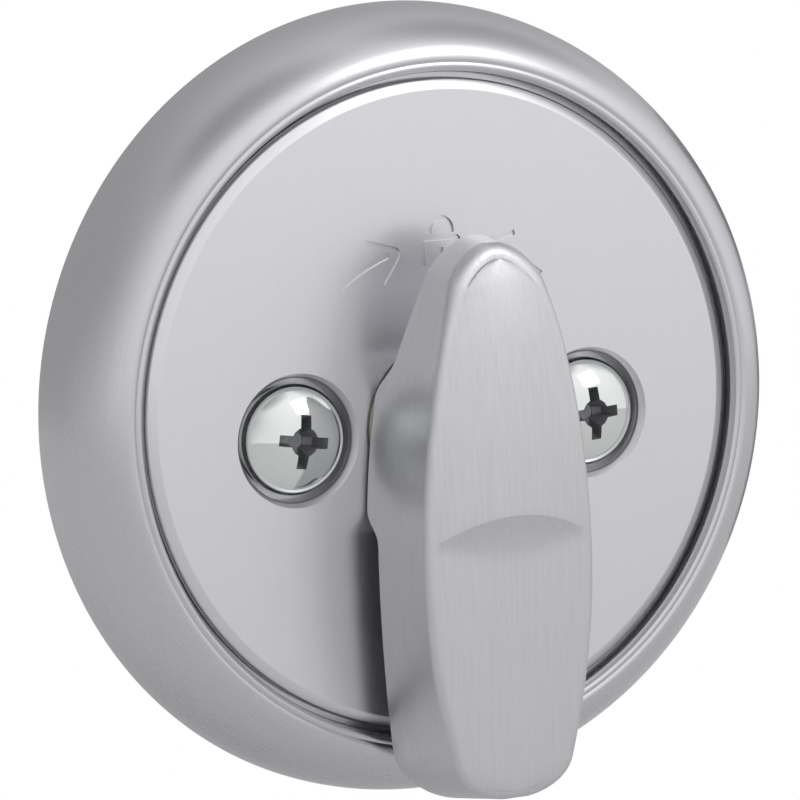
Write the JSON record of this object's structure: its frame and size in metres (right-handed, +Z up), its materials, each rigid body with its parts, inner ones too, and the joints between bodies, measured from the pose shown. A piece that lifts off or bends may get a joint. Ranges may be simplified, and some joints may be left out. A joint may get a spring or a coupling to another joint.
{
  "type": "one-sided deadbolt door lock",
  "caption": "Round satin-chrome deadbolt with a tapered thumb-turn inside, a steel bolt in the door's edge and a plain domed plate outside.",
  "frame": {"origin": "where the thumb-turn's axis crosses the door's inside face", "axes": "+X towards the door's edge, the way the bolt is thrown; +Y through the door, from the room side to the outside; +Z up"},
  "size_m": [0.1189, 0.0717, 0.0671],
  "materials": {
    "satin_chrome": "satin chrome plate, finely brushed",
    "polished_chrome": "bright chrome plate",
    "zinc_plated_steel": "clear zinc plate on stamped or turned steel",
    "spring_steel": "oiled hardened steel",
    "satin_steel": "satin nickel on ground steel",
    "nylon": "moulded nylon",
    "rubber": "matt foam rubber"
  },
  "bodies": {
    "lock_body": {"rose_shell": "satin_chrome", "face_plate": "satin_chrome", "support_plate": "zinc_plated_steel", "hub_bushing": "nylon", "wave_washer": "spring_steel", "detent_ball": "spring_steel", "detent_spring": "spring_steel", "mounting_screw_left": "polished_chrome", "mounting_screw_right": "polished_chrome", "outside_post_left": "zinc_plated_steel", "outside_post_right": "zinc_plated_steel", "cage_plate_inside": "zinc_plated_steel", "cage_plate_outside": "zinc_plated_steel", "cage_rivet_1": "zinc_plated_steel", "cage_rivet_2": "zinc_plated_steel", "cage_rivet_3": "zinc_plated_steel", "cage_rivet_4": "zinc_plated_steel", "bolt_sleeve": "zinc_plated_steel", "bolt_backing_plate": "zinc_plated_steel", "bolt_faceplate": "satin_chrome", "faceplate_screw_upper": "satin_chrome", "faceplate_screw_lower": "satin_chrome", "outside_plate": "satin_chrome", "outside_gasket": "rubber"},
    "turn_group": {"thumbturn": "satin_chrome", "stop_cam": "zinc_plated_steel", "retaining_ring": "spring_steel", "torque_blade": "zinc_plated_steel", "blade_pin": "spring_steel", "crank": "zinc_plated_steel"},
    "bolt_group": {"bolt": "satin_steel", "bolt_link": "zinc_plated_steel", "drive_pin": "spring_steel", "bolt_rivet": "zinc_plated_steel", "hardened_pin": "spring_steel"}
  },
  "joints": [
    {"name": "thumbturn_turn", "type": "hinge", "parent": "lock_body", "child": "turn_group", "pos_m": [0, 0, 0], "axis": [0, -1, 0], "range_deg": [0, 90]},
    {"name": "bolt_slide", "type": "slide", "parent": "lock_body", "child": "bolt_group", "axis": [1, 0, 0], "range_m": [-0.0254, 0]}
  ],
  "couplings": [
    {"joint": "bolt_slide", "follows": "thumbturn_turn", "m_per_rad": -0.01617}
  ]
}
